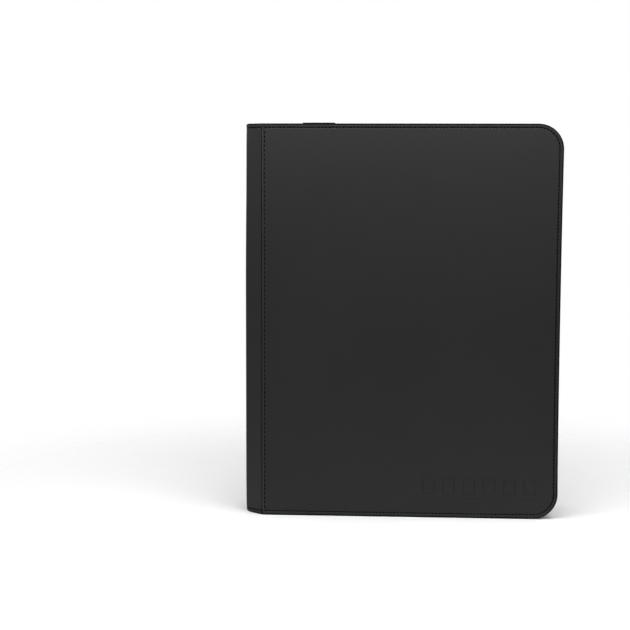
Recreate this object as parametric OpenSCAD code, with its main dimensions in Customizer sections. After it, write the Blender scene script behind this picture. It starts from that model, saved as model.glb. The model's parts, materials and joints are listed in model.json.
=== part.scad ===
// Zip-around trading card binder, standing on its bottom edges with the spine at -X.
// X runs from the spine to the fore-edge, Y from the front cover to the back cover, Z up.
// The origin is on the floor, in the middle of the binder's width and depth.

/* [Covers] */
// Width of each flat cover panel, from its crease to the fore-edge
cover_w = 271; // [250:1:290]
// Height of the covers and the spine
cover_h = 360; // [345:1:380]
// Radius of the two rounded corners at the fore-edge
corner_r = 23; // [12:1:40]
// Depth over both covers
depth = 60; // [60:0.5:66]

/* [Spine and hinge strips] */
// Width of the flat spine panel
spine_w = 34; // [32:0.5:36]
// How far the slanted hinge strips run along the width
strip_run = 16; // [15:0.5:20]
// Gap left at each crease between the panels
crease_gap = 0.4; // [0.3:0.1:0.6]

/* [Cover layers] */
// Thickness of the leatherette skin
skin_t = 0.9; // [0.6:0.1:1.2]
// Thickness of the foam padding under the skin
padding_t = 1.6; // [1:0.1:1.8]
// Thickness of the stiff board
board_t = 2; // [1.5:0.1:2.2]
// Thickness of the inner lining
lining_t = 0.6; // [0.4:0.1:0.7]

/* [Zip] */
// How far the coil's outer face lies inside the cover's edge
coil_inset = 2.3; // [2:0.1:3]
// Thickness of the coil
coil_t = 2.2; // [1.8:0.1:2.4]
// Width of one coil row
coil_w = 2.5; // [2:0.1:3]
// Half of the gap between the two coil rows
coil_half_gap = 0.7; // [0.65:0.05:0.9]
// Thickness of the zip tape
tape_t = 0.6; // [0.4:0.1:0.8]
// Distance from the middle of the zip to the tape's sewn edge
tape_reach = 15; // [14:0.5:16]
// Distance from the middle of the zip to the gusset's free edge
gusset_reach = 12; // [11:0.5:13]
// Thickness of the gusset
gusset_t = 1.1; // [0.9:0.1:1.3]
// Distance from each crease to the end of the zip
zip_end = 8.5; // [7:0.5:12]

/* [Slider and pull] */
// Distance from the crease to the middle of the slider
slider_at = 36; // [36:0.5:200]
// Length of the slider
slider_l = 12; // [10:0.5:14]
// Width of the slider's plates
slider_w = 11; // [9:0.5:13]
// Thickness of the slider's plates
plate_t = 1; // [0.8:0.1:1.2]
// Length of the pull tab from its pin
pull_l = 29; // [18:0.5:30]
// Width of the pull tab
pull_w = 6; // [5:0.5:8]

/* [Leaves] */
// Width of each leaf, from its hinge line to its outer edge
leaf_w = 250; // [235:1:252]
// Height of each leaf
leaf_h = 330; // [300:1:335]
// Distance between two leaves
leaf_pitch = 4; // [3.6:0.1:4]
// Thickness of a leaf with its pocket films
leaf_t = 1.3; // [1.1:0.1:1.5]

/* [Hidden] */
$fn = 64;

leatherette = [0.12, 0.12, 0.13];
lining_grey = [0.2, 0.2, 0.21];
board_grey = [0.55, 0.52, 0.47];
foam_grey = [0.7, 0.7, 0.7];
metal = [0.3, 0.3, 0.32];

// Plan positions: the overall width is centred on the origin.
overall_w = cover_w + strip_run;
spine_x = -overall_w / 2;
crease_x = spine_x + strip_run;
edge_x = overall_w / 2;
outer_y = -depth / 2;
strip_rise = depth / 2 - spine_w / 2;
strip_l = sqrt(strip_run * strip_run + strip_rise * strip_rise);
cover_bend = atan(strip_rise / strip_run);
spine_bend = 90 - cover_bend;

// Depths of the cover's layers below its outer face
padding_depth = skin_t;
board_depth = padding_depth + padding_t;
lining_depth = board_depth + board_t;
cover_t = lining_depth + lining_t;
inner_y = outer_y + cover_t;
spine_t = skin_t + board_t + lining_t;
strip_t = skin_t + lining_t;

// Zip wall
zip_start_x = crease_x + zip_end;
tape_inset = coil_inset + (coil_t - tape_t) / 2;
gusset_inset = tape_inset - gusset_t;
stop_l = 3;
stop_t = coil_t + 0.4;

// Leaf block
leaf_count = 12;
half_count = leaf_count / 2;
hinge_land = 6;
root_t = 0.5;
leaf_x = crease_x + 8.5;
leaf_z = (cover_h - leaf_h) / 2;
leaf_corner_r = 5;
margin_t = 1;
margin_end_x = leaf_x - 0.9;
margin_w = 9.5;
margin_x = margin_end_x - margin_w;
spacer_setback = 0.6;
spacer_t = leaf_pitch - margin_t;
block_half = leaf_pitch * (leaf_count - 1) / 2 + margin_t / 2;
clamp_t = 1;
channel_t = 1.2;
rivet_r = 2;
rivet_head_r = 3.6;
rivet_head_t = 0.8;
rivet_play = 0.1;
rivet_count = 5;
rivet_end = 25;

// Pockets: three columns and three rows on each side of a leaf
pocket_columns = 3;
pocket_rows = 3;
film_t = 0.2;
pocket_gap = 0.25;
weld_w = 2;
mouth_w = 3;

// Slider and pull
slider_x = crease_x + slider_at;
coil_mid_z = cover_h - coil_inset - coil_t / 2;
plate_gap = coil_t + 0.6;
plate_top_z = coil_mid_z + plate_gap / 2 + plate_t;
web_t = 0.6;
pin_r = 0.4;
barrel_r = 0.9;
barrel_play = 0.1;
pin_z = plate_top_z + 1.6;
lug_in = 1.6;
lug_t = 0.9;
pull_t = 1.6;
pull_slot_l = 12;
pull_slot_w = 2.4;

// Where a layer at this depth starts from a crease that bends by this angle
function setback(layer_depth, bend) = layer_depth * tan(bend / 2) + crease_gap / 2;

// A plate drawn in X and Z that fills the depth from y0 to y1
module slab(y0, y1) {
  translate([0, y1, 0])
    rotate([90, 0, 0])
      linear_extrude(y1 - y0)
        children();
}

// The back half is the front half, mirrored.
module back() {
  mirror([0, 1, 0])
    children();
}

// Outline from start_x to the fore-edge, square at the spine, its other edges set in by inset
module cover_outline(start_x, inset) {
  r = corner_r - inset;
  right = edge_x - inset;
  low = inset;
  high = cover_h - inset;
  translate([start_x, low])
    square([right - r - start_x, high - low]);
  translate([right - 2 * r, low + r])
    square([2 * r, high - low - 2 * r]);
  for (z = [low + r, high - r])
    translate([right - r, z])
      circle(r, $fn = 96);
}

// Band that follows the outline on three sides and is open at the spine
module edge_band(start_x, inset, thickness) {
  difference() {
    cover_outline(start_x, inset);
    cover_outline(start_x - 1, inset + thickness);
  }
}

// Panel layer with mitred ends, drawn as length along the panel and depth into it
module mitred_layer(length, from_depth, to_depth, start_bend, end_bend) {
  polygon([
    [setback(from_depth, start_bend), from_depth],
    [setback(to_depth, start_bend), to_depth],
    [length - setback(to_depth, end_bend), to_depth],
    [length - setback(from_depth, end_bend), from_depth]
  ]);
}

// Spine layer between two heights
module spine_layer(from_depth, to_depth, low, high) {
  translate([spine_x, spine_w / 2, low])
    linear_extrude(high - low)
      rotate(-90)
        mitred_layer(spine_w, from_depth, to_depth, spine_bend, spine_bend);
}

// Layer of the front hinge strip between two heights
module strip_layer(from_depth, to_depth, low, high) {
  translate([spine_x, -spine_w / 2, low])
    linear_extrude(high - low)
      rotate(-cover_bend)
        mitred_layer(strip_l, from_depth, to_depth, spine_bend, cover_bend);
}

module spine_leatherette() {
  color(leatherette) {
    spine_layer(0, skin_t, 0, cover_h);
    for (z = [0, cover_h - skin_t])
      spine_layer(skin_t, skin_t + board_t, z, z + skin_t);
  }
}

module spine_board() {
  color(board_grey)
    spine_layer(skin_t, skin_t + board_t, skin_t, cover_h - skin_t);
}

module spine_lining() {
  color(lining_grey)
    spine_layer(skin_t + board_t, spine_t, skin_t, cover_h - skin_t);
}

module front_hinge_leatherette() {
  color(leatherette) {
    strip_layer(0, skin_t, 0, cover_h);
    for (z = [0, cover_h - skin_t])
      strip_layer(skin_t, strip_t, z, z + skin_t);
  }
}

module front_hinge_lining() {
  color(lining_grey)
    strip_layer(skin_t, strip_t, skin_t, cover_h - skin_t);
}

module back_hinge_leatherette() {
  back() front_hinge_leatherette();
}

module back_hinge_lining() {
  back() front_hinge_lining();
}

// Skin with its edges turned round the board
module front_cover_leatherette() {
  color(leatherette) {
    slab(outer_y, outer_y + skin_t)
      cover_outline(crease_x + setback(skin_t, cover_bend), 0);
    slab(outer_y + skin_t, outer_y + lining_depth)
      edge_band(crease_x + setback(lining_depth, cover_bend), 0, skin_t);
  }
}

module front_cover_padding() {
  color(foam_grey)
    slab(outer_y + padding_depth, outer_y + board_depth)
      cover_outline(crease_x + setback(board_depth, cover_bend), skin_t);
}

module front_cover_board() {
  color(board_grey)
    slab(outer_y + board_depth, outer_y + lining_depth)
      cover_outline(crease_x + setback(lining_depth, cover_bend), skin_t);
}

module front_cover_lining() {
  color(lining_grey)
    slab(outer_y + lining_depth, inner_y)
      cover_outline(crease_x + setback(cover_t, cover_bend), skin_t);
}

module front_gusset() {
  color(leatherette)
    slab(inner_y, -gusset_reach)
      edge_band(zip_start_x, gusset_inset, gusset_t);
}

module front_zipper_tape() {
  color(leatherette)
    slab(-tape_reach, -coil_half_gap - coil_w)
      edge_band(zip_start_x, tape_inset, tape_t);
}

module front_zipper_coil() {
  color(metal)
    slab(-coil_half_gap - coil_w, -coil_half_gap)
      edge_band(zip_start_x + stop_l, coil_inset, coil_t);
}

// One stop at each end of the coil row
module front_zipper_stops() {
  inset = coil_inset - (stop_t - coil_t) / 2;
  color(metal)
    for (z = [inset, cover_h - inset - stop_t])
      translate([zip_start_x, -coil_half_gap - coil_w, z])
        cube([stop_l, coil_w, stop_t]);
}

module back_cover_leatherette() {
  back() front_cover_leatherette();
}

module back_cover_padding() {
  back() front_cover_padding();
}

module back_cover_board() {
  back() front_cover_board();
}

module back_cover_lining() {
  back() front_cover_lining();
}

module back_gusset() {
  back() front_gusset();
}

module back_zipper_tape() {
  back() front_zipper_tape();
}

module back_zipper_coil() {
  back() front_zipper_coil();
}

module back_zipper_stops() {
  back() front_zipper_stops();
}

// One child on each rivet's axis, which runs along Y
module at_rivets() {
  step = (leaf_h - 2 * rivet_end) / (rivet_count - 1);
  for (i = [0 : rivet_count - 1])
    translate([margin_x + margin_w / 2, 0, leaf_z + rivet_end + i * step])
      rotate([90, 0, 0])
        children();
}

module rivet_holes() {
  at_rivets()
    cylinder(h = depth, r = rivet_r + rivet_play, center = true);
}

// Folded fabric channel that carries the leaf block on the spine lining
module binding_channel() {
  back_x = spine_x + spine_t;
  back_half = spine_w / 2 - 2;
  front_half = block_half + clamp_t;
  color(lining_grey)
    translate([0, 0, leaf_z])
      linear_extrude(leaf_h)
        difference() {
          polygon([
            [back_x, -back_half], [margin_x, -front_half],
            [margin_x, front_half], [back_x, back_half]
          ]);
          polygon([
            [back_x + channel_t, channel_t - back_half],
            [margin_x - channel_t, 2 * channel_t - front_half],
            [margin_x - channel_t, front_half - 2 * channel_t],
            [back_x + channel_t, back_half - channel_t]
          ]);
        }
}

// The sewn-in edges of the leaves
module leaf_binding_margins() {
  color(lining_grey)
    difference() {
      for (i = [1 : leaf_count])
        translate([margin_x, leaf_y(i) - margin_t / 2, leaf_z])
          cube([margin_w, margin_t, leaf_h]);
      rivet_holes();
    }
}

module leaf_spacers() {
  color(board_grey)
    difference() {
      for (i = [1 : leaf_count - 1])
        translate([margin_x, leaf_y(i) + margin_t / 2, leaf_z])
          cube([margin_w - spacer_setback, spacer_t, leaf_h]);
      rivet_holes();
    }
}

module front_clamp_strip() {
  color(metal)
    difference() {
      translate([margin_x, -block_half - clamp_t, leaf_z])
        cube([margin_w, clamp_t, leaf_h]);
      rivet_holes();
    }
}

module back_clamp_strip() {
  back() front_clamp_strip();
}

module binding_rivets() {
  grip = block_half + clamp_t;
  color(metal)
    at_rivets() {
      cylinder(h = 2 * grip, r = rivet_r, center = true);
      for (z = [-grip - rivet_head_t, grip])
        translate([0, 0, z])
          cylinder(h = rivet_head_t, r = rivet_head_r);
    }
}

module zipper_slider() {
  color(metal) {
    for (z = [plate_top_z - plate_t, plate_top_z - 2 * plate_t - plate_gap])
      translate([slider_x, 0, z])
        slider_plate();
    translate([slider_x - slider_l / 4, -web_t / 2, plate_top_z - plate_t - plate_gap])
      cube([slider_l / 2, web_t, plate_gap]);
    difference() {
      for (y = [-lug_in - lug_t, lug_in])
        translate([slider_x, y, plate_top_z])
          lug();
      pin_hole(pin_r);
    }
  }
}

// Rounded plate of the slider
module slider_plate() {
  r = slider_w / 4;
  linear_extrude(plate_t) {
    square([slider_l - 2 * r, slider_w], center = true);
    square([slider_l, slider_w - 2 * r], center = true);
    for (x = [-1, 1], y = [-1, 1])
      translate([x * (slider_l / 2 - r), y * (slider_w / 2 - r)])
        circle(r);
  }
}

// Small cheek that holds one end of the pull's pin
module lug() {
  rise = pin_z - plate_top_z;
  translate([-barrel_r, 0, 0])
    cube([2 * barrel_r, lug_t, rise]);
  translate([0, lug_t, rise])
    rotate([90, 0, 0])
      cylinder(h = lug_t, r = barrel_r);
}

module pin_hole(r) {
  translate([slider_x, slider_w / 2, pin_z])
    rotate([90, 0, 0])
      cylinder(h = slider_w, r = r);
}

module zipper_pull_pin() {
  half = lug_in + lug_t;
  color(metal)
    translate([slider_x, half, pin_z])
      rotate([90, 0, 0])
        cylinder(h = 2 * half, r = pin_r);
}

// Flat tab that lies on the slider and turns over on its pin
module zipper_pull() {
  barrel_half = lug_in - 0.3;
  neck_w = 2 * barrel_half;
  end_r = pull_w / 2;
  shoulder = slider_l / 3;
  color(metal)
    difference() {
      union() {
        translate([slider_x, barrel_half, pin_z])
          rotate([90, 0, 0])
            cylinder(h = neck_w, r = barrel_r);
        translate([slider_x, 0, pin_z - pull_t / 2])
          linear_extrude(pull_t) {
            translate([0, -barrel_half])
              square([shoulder + end_r, neck_w]);
            for (x = [shoulder + end_r, pull_l - end_r])
              translate([x, 0])
                circle(end_r);
            translate([shoulder + end_r, -end_r])
              square([pull_l - shoulder - 2 * end_r, pull_w]);
          }
      }
      pin_hole(pin_r + barrel_play);
      translate([slider_x, 0, pin_z - pull_t])
        linear_extrude(2 * pull_t)
          pull_slot();
    }
}

// Slot through the pull tab
module pull_slot() {
  right = pull_l - pull_w / 2;
  r = pull_slot_w / 2;
  translate([right - pull_slot_l, -r])
    square([pull_slot_l, pull_slot_w]);
  for (x = [right - pull_slot_l, right])
    translate([x, 0])
      circle(r);
}

function leaf_y(index) = (index - half_count - 0.5) * leaf_pitch;

// Outline of a leaf's pocket area, rounded at the fore-edge
module leaf_outline() {
  left = leaf_x + hinge_land;
  right = leaf_x + leaf_w;
  r = leaf_corner_r;
  translate([left, leaf_z])
    square([right - r - left, leaf_h]);
  translate([right - 2 * r, leaf_z + r])
    square([2 * r, leaf_h - 2 * r]);
  for (z = [leaf_z + r, leaf_z + leaf_h - r])
    translate([right - r, z])
      circle(r, $fn = 48);
}

// One leaf: a centre sheet with nine side-loading film pockets welded on each face
module leaf(index) {
  column_w = (leaf_w - hinge_land) / pocket_columns;
  row_h = leaf_h / pocket_rows;
  color(lining_grey)
    translate([0, leaf_y(index), 0])
      difference() {
        union() {
          slab(-leaf_t / 2, leaf_t / 2)
            leaf_outline();
          translate([leaf_x, -root_t / 2, leaf_z])
            cube([hinge_land + 1, root_t, leaf_h]);
        }
        for (column = [0 : pocket_columns - 1], row = [0 : pocket_rows - 1], side = [0, 1])
          translate([leaf_x + hinge_land + column * column_w, 0, leaf_z + row * row_h])
            mirror([0, side, 0])
              pocket(column_w, row_h);
      }
}

// The hollow of one pocket with its mouth, which is on the side nearer the spine
module pocket(column_w, row_h) {
  room_w = column_w - 2 * weld_w;
  room_h = row_h - 2 * weld_w;
  translate([weld_w, leaf_t / 2 - film_t - pocket_gap, weld_w])
    cube([room_w, pocket_gap, room_h]);
  translate([weld_w, leaf_t / 2 - film_t - pocket_gap, weld_w])
    cube([mouth_w, leaf_t, room_h]);
}

spine_leatherette();
spine_board();
spine_lining();
binding_channel();
leaf_binding_margins();
leaf_spacers();
front_clamp_strip();
back_clamp_strip();
binding_rivets();
front_hinge_leatherette();
front_hinge_lining();
back_hinge_leatherette();
back_hinge_lining();
front_cover_leatherette();
front_cover_padding();
front_cover_board();
front_cover_lining();
front_gusset();
front_zipper_tape();
front_zipper_coil();
front_zipper_stops();
back_cover_leatherette();
back_cover_padding();
back_cover_board();
back_cover_lining();
back_gusset();
back_zipper_tape();
back_zipper_coil();
back_zipper_stops();
zipper_slider();
zipper_pull_pin();
zipper_pull();
leaf(1);  // leaf_01
leaf(2);  // leaf_02
leaf(3);  // leaf_03
leaf(4);  // leaf_04
leaf(5);  // leaf_05
leaf(6);  // leaf_06
leaf(7);  // leaf_07
leaf(8);  // leaf_08
leaf(9);  // leaf_09
leaf(10);  // leaf_10
leaf(11);  // leaf_11
leaf(12);  // leaf_12
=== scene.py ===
"""Looks of the zip-around card binder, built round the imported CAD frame."""

import json
import math

import bpy
import numpy as np
from mathutils import Matrix, Vector


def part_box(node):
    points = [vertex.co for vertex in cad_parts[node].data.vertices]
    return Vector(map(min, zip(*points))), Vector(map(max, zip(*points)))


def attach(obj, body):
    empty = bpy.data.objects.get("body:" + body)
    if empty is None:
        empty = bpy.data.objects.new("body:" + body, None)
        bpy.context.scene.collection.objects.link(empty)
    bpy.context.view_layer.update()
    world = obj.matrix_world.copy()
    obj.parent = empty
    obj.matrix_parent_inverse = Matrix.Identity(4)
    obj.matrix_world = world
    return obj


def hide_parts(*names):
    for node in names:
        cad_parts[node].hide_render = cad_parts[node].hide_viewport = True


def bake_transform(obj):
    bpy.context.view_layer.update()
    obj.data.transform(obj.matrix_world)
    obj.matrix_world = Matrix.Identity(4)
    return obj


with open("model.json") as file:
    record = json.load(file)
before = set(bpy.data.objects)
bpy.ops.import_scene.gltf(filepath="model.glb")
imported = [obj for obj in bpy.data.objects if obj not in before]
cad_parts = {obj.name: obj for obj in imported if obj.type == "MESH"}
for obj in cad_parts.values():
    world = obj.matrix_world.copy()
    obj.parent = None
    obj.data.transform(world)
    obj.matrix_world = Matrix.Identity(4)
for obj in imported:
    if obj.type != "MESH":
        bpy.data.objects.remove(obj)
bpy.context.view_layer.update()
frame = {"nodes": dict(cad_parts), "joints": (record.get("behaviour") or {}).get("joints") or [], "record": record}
NODES = frame["nodes"]
JOINTS = {joint["name"]: joint for joint in frame["joints"]}
MM = 0.001

# ---------------------------------------------------------------- sizes taken from the frame
SPINE_CORNER = np.array(JOINTS["front_spine_crease"]["pos_m"][:2])
COVER_CORNER = np.array(JOINTS["front_cover_crease"]["pos_m"][:2])
COVER_LOW, COVER_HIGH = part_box("front_cover_leatherette")
FORE_EDGE = np.array([COVER_HIGH.x, COVER_LOW.y])
HEIGHT = COVER_HIGH.z
COVER_WIDTH = FORE_EDGE[0] - COVER_CORNER[0]
STRIP_LENGTH = float(np.linalg.norm(COVER_CORNER - SPINE_CORNER))
SPINE_WIDTH = -2 * SPINE_CORNER[1]
COVER_BEND = math.atan2(SPINE_CORNER[1] - COVER_CORNER[1], COVER_CORNER[0] - SPINE_CORNER[0])
SPINE_BEND = math.pi / 2 - COVER_BEND
CORNER_RADIUS = 23 * MM

# Depths below the outer face at which each tray of leatherette ends
COVER_RIM = COVER_HIGH.y - COVER_LOW.y
SPINE_RIM = 2.9 * MM
STRIP_RIM = 1.5 * MM
SKIN = 0.8 * MM
CREASE_HALF_GAP = 0.25 * MM
FOLD_GAP = 0.8 * MM
CREASE_ROLL = 0.8 * MM
CREASE_DROP = 0.55 * MM

# Edge seam: the row of stitches, its groove and the soft crown of the face inside it
SEAM_INSET = 3.8 * MM
FOLD_SEAM = 2.2 * MM
FOLD_BEAD = 0.35 * MM
FOLD_BEAD_AT = 0.85 * MM
FOLD_BEAD_WIDTH = 0.5 * MM
GROOVE_DEPTH = 0.6 * MM
GROOVE_HALF = 0.85 * MM
ROLL_RADIUS = 1.6 * MM
BAND_CROWN = 0.22 * MM
CROWN = 0.35 * MM
CROWN_REACH = 14 * MM
EDGE_PITCH = 3.2 * MM
FOLD_PITCH = 4.1 * MM
# The edge and fold threads are drawn thicker than the real thread; the extra width paints the shade in the needle
# holes.
THREAD_RADIUS = 0.62 * MM
FOLD_THREAD_RADIUS = 0.85 * MM
WALL_THREAD_RADIUS = 0.34 * MM


# ---------------------------------------------------------------- node material helpers
def new_material(name):
    """An empty node material with its Principled shader."""
    material = bpy.data.materials.new(name)
    material.use_nodes = True
    return material, material.node_tree, material.node_tree.nodes["Principled BSDF"]


def object_coordinates(tree, scale=(1, 1, 1)):
    """The piece's own coordinates, in metres, stretched by scale."""
    source = tree.nodes.new("ShaderNodeTexCoord")
    mapping = tree.nodes.new("ShaderNodeMapping")
    mapping.inputs["Scale"].default_value = scale
    tree.links.new(source.outputs["Object"], mapping.inputs["Vector"])
    return mapping.outputs["Vector"]


def noise(tree, vector, scale, detail=3.0, roughness=0.5):
    node = tree.nodes.new("ShaderNodeTexNoise")
    node.inputs["Scale"].default_value = scale
    node.inputs["Detail"].default_value = detail
    node.inputs["Roughness"].default_value = roughness
    tree.links.new(vector, node.inputs["Vector"])
    return node.outputs["Fac"]


def ramp(tree, value, low, high):
    """value, stretched from 0..1 to low..high."""
    node = tree.nodes.new("ShaderNodeMapRange")
    node.inputs["To Min"].default_value = low
    node.inputs["To Max"].default_value = high
    tree.links.new(value, node.inputs["Value"])
    return node.outputs["Result"]


def two_tone(tree, value, dark, light):
    """A colour that goes from dark to light with value."""
    node = tree.nodes.new("ShaderNodeMix")
    node.data_type = "RGBA"
    node.inputs["A"].default_value = (*dark, 1)
    node.inputs["B"].default_value = (*light, 1)
    tree.links.new(value, node.inputs["Factor"])
    return node.outputs["Result"]


def bump(tree, height, strength, distance, below=None):
    node = tree.nodes.new("ShaderNodeBump")
    node.inputs["Strength"].default_value = strength
    node.inputs["Distance"].default_value = distance
    tree.links.new(height, node.inputs["Height"])
    if below is not None:
        tree.links.new(below, node.inputs["Normal"])
    return node.outputs["Normal"]


def voronoi(tree, vector, scale, feature="F1", output="Distance"):
    node = tree.nodes.new("ShaderNodeTexVoronoi")
    node.feature = feature
    node.inputs["Scale"].default_value = scale
    tree.links.new(vector, node.inputs["Vector"])
    return node.outputs[output]


def wave(tree, vector, scale, direction):
    node = tree.nodes.new("ShaderNodeTexWave")
    node.bands_direction = direction
    node.wave_profile = "SIN"
    node.inputs["Scale"].default_value = scale
    tree.links.new(vector, node.inputs["Vector"])
    return node.outputs["Fac"]


def maths(tree, operation, first, second):
    node = tree.nodes.new("ShaderNodeMath")
    node.operation = operation
    for socket, value in zip(node.inputs, (first, second)):
        if isinstance(value, (int, float)):
            socket.default_value = value
        else:
            tree.links.new(value, socket)
    return node.outputs["Value"]


# ---------------------------------------------------------------- materials
def leatherette_material():
    """Smooth matte polyurethane leather: fine pebbles, faint cloudiness and scuffs."""
    material, tree, shader = new_material("leatherette")
    place = object_coordinates(tree)
    cloud = noise(tree, place, 9, 4)
    tree.links.new(two_tone(tree, cloud, (0.0165, 0.0165, 0.0170), (0.0215, 0.0215, 0.0220)),
                   shader.inputs["Base Color"])
    scuff = noise(tree, place, 60, 6, 0.7)
    tree.links.new(ramp(tree, scuff, 0.50, 0.66), shader.inputs["Roughness"])
    pebbles = voronoi(tree, place, 1500, "SMOOTH_F1")
    fine = bump(tree, noise(tree, place, 3200, 2), 0.10, 0.00010)
    grain = bump(tree, pebbles, 0.16, 0.00012, fine)
    slow = bump(tree, noise(tree, place, 22, 3), 0.10, 0.0012, grain)
    tree.links.new(slow, shader.inputs["Normal"])
    shader.inputs["Specular IOR Level"].default_value = 0.3
    return material


def painted_shade_edge_material():
    """Painted shade on the leatherette's roll over each edge: near-black and duller."""
    material, tree, shader = new_material("painted_shade_edge")
    place = object_coordinates(tree)
    cloud = noise(tree, place, 120, 4)
    tree.links.new(two_tone(tree, cloud, (0.0020, 0.0020, 0.0022), (0.0050, 0.0050, 0.0052)),
                   shader.inputs["Base Color"])
    tree.links.new(ramp(tree, cloud, 0.62, 0.8), shader.inputs["Roughness"])
    tree.links.new(bump(tree, voronoi(tree, place, 1500), 0.15, 0.00012), shader.inputs["Normal"])
    shader.inputs["Specular IOR Level"].default_value = 0.0
    return material


def painted_highlight_fold_material():
    """Painted highlight: a paler band of leatherette along the board's edge at the fold."""
    material, tree, shader = new_material("painted_highlight_fold")
    place = object_coordinates(tree)
    highlight_mottle = noise(tree, place, 75, 5, 0.65)
    tree.links.new(two_tone(tree, highlight_mottle, (0.024, 0.024, 0.025), (0.040, 0.040, 0.041)),
                   shader.inputs["Base Color"])
    tree.links.new(ramp(tree, highlight_mottle, 0.42, 0.58), shader.inputs["Roughness"])
    tree.links.new(bump(tree, voronoi(tree, place, 1500), 0.1, 0.0001), shader.inputs["Normal"])
    shader.inputs["Specular IOR Level"].default_value = 0.35
    return material


def mark_material():
    """Leatherette under a hot stamp: a little darker and closer grained."""
    material, tree, shader = new_material("pressed_mark")
    place = object_coordinates(tree)
    cloud = noise(tree, place, 80, 4)
    tree.links.new(two_tone(tree, cloud, (0.0125, 0.0125, 0.0130), (0.0155, 0.0155, 0.0160)),
                   shader.inputs["Base Color"])
    tree.links.new(ramp(tree, cloud, 0.50, 0.62), shader.inputs["Roughness"])
    tree.links.new(bump(tree, voronoi(tree, place, 2600), 0.08, 0.00008), shader.inputs["Normal"])
    shader.inputs["Specular IOR Level"].default_value = 0.25
    return material


def thread_material():
    """Twisted polyester thread, near-black; the edge and fold stitches are drawn thicker than the real thread, so
    they also paint the shade of the needle holes.
    """
    material, tree, shader = new_material("stitch_thread")
    place = object_coordinates(tree)
    twist = wave(tree, place, 900, "DIAGONAL")
    tree.links.new(two_tone(tree, twist, (0.001, 0.001, 0.001), (0.004, 0.004, 0.004)),
                   shader.inputs["Base Color"])
    tree.links.new(ramp(tree, twist, 0.7, 0.85), shader.inputs["Roughness"])
    tree.links.new(bump(tree, twist, 0.5, 0.0001), shader.inputs["Normal"])
    shader.inputs["Specular IOR Level"].default_value = 0.03
    return material


def cloth_material(name, dark, light, threads_per_m, relief):
    """Plain weave of two crossed sets of threads."""
    material, tree, shader = new_material(name)
    place = object_coordinates(tree)
    along = maths(tree, "ADD", wave(tree, place, threads_per_m, "X"), wave(tree, place, threads_per_m, "Y"))
    weave = maths(tree, "MULTIPLY", along, wave(tree, place, threads_per_m, "Z"))
    lint = noise(tree, place, 700, 3)
    both = maths(tree, "ADD", maths(tree, "MULTIPLY", weave, 0.5), maths(tree, "MULTIPLY", lint, 0.4))
    tree.links.new(two_tone(tree, both, dark, light), shader.inputs["Base Color"])
    tree.links.new(ramp(tree, lint, 0.78, 0.95), shader.inputs["Roughness"])
    tree.links.new(bump(tree, both, 0.5, relief), shader.inputs["Normal"])
    shader.inputs["Sheen Weight"].default_value = 0.15
    shader.inputs["Specular IOR Level"].default_value = 0.25
    return material


def board_material():
    """Grey board with pressed fibres."""
    material, tree, shader = new_material("greyboard")
    place = object_coordinates(tree)
    fibres = noise(tree, place, 450, 6, 0.7)
    tree.links.new(two_tone(tree, fibres, (0.16, 0.145, 0.12), (0.30, 0.27, 0.23)),
                   shader.inputs["Base Color"])
    tree.links.new(ramp(tree, fibres, 0.85, 0.97), shader.inputs["Roughness"])
    tree.links.new(bump(tree, fibres, 0.35, 0.0002), shader.inputs["Normal"])
    return material


def foam_material():
    """Closed-cell foam sheet."""
    material, tree, shader = new_material("foam")
    place = object_coordinates(tree)
    cells = voronoi(tree, place, 1300)
    tree.links.new(two_tone(tree, cells, (0.10, 0.10, 0.10), (0.22, 0.22, 0.22)),
                   shader.inputs["Base Color"])
    tree.links.new(ramp(tree, cells, 0.8, 0.95), shader.inputs["Roughness"])
    tree.links.new(bump(tree, cells, 0.4, 0.0003), shader.inputs["Normal"])
    return material


def nylon_material():
    """Semi-matte nylon of the zip coil."""
    material, tree, shader = new_material("zip_nylon")
    place = object_coordinates(tree)
    mottle = noise(tree, place, 500, 3)
    tree.links.new(two_tone(tree, mottle, (0.006, 0.006, 0.007), (0.013, 0.013, 0.014)),
                   shader.inputs["Base Color"])
    tree.links.new(ramp(tree, mottle, 0.30, 0.46), shader.inputs["Roughness"])
    tree.links.new(bump(tree, mottle, 0.15, 0.0001), shader.inputs["Normal"])
    return material


def metal_material():
    """Black lacquered zinc with fine scratches and brighter rubbed spots."""
    material, tree, shader = new_material("black_metal")
    place = object_coordinates(tree)
    streaks = noise(tree, object_coordinates(tree, (30, 400, 400)), 6, 5, 0.6)
    highlight_and_rubbed = noise(tree, place, 220, 4)
    tree.links.new(two_tone(tree, highlight_and_rubbed, (0.05, 0.05, 0.053), (0.11, 0.11, 0.115)),
                   shader.inputs["Base Color"])
    tree.links.new(ramp(tree, streaks, 0.14, 0.34), shader.inputs["Roughness"])
    tree.links.new(bump(tree, streaks, 0.08, 0.00005), shader.inputs["Normal"])
    shader.inputs["Metallic"].default_value = 0.9
    return material


def plastic_material():
    """Matte black moulded strip."""
    material, tree, shader = new_material("black_plastic")
    place = object_coordinates(tree)
    spark = noise(tree, place, 1800, 2)
    tree.links.new(two_tone(tree, spark, (0.018, 0.018, 0.018), (0.028, 0.028, 0.028)),
                   shader.inputs["Base Color"])
    tree.links.new(ramp(tree, spark, 0.45, 0.6), shader.inputs["Roughness"])
    tree.links.new(bump(tree, spark, 0.25, 0.0001), shader.inputs["Normal"])
    return material


def film_material():
    """Clear embossed polypropylene film over what lies behind it."""
    material, tree, shader = new_material("clear_film")
    place = object_coordinates(tree)
    orange_peel = noise(tree, place, 420, 3)
    tree.links.new(two_tone(tree, orange_peel, (0.55, 0.56, 0.58), (0.66, 0.67, 0.70)),
                   shader.inputs["Base Color"])
    tree.links.new(ramp(tree, orange_peel, 0.10, 0.24), shader.inputs["Roughness"])
    waviness = bump(tree, noise(tree, place, 35, 3), 0.25, 0.002)
    tree.links.new(bump(tree, orange_peel, 0.12, 0.0002, waviness), shader.inputs["Normal"])
    shader.inputs["Alpha"].default_value = 0.16
    return material


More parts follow.
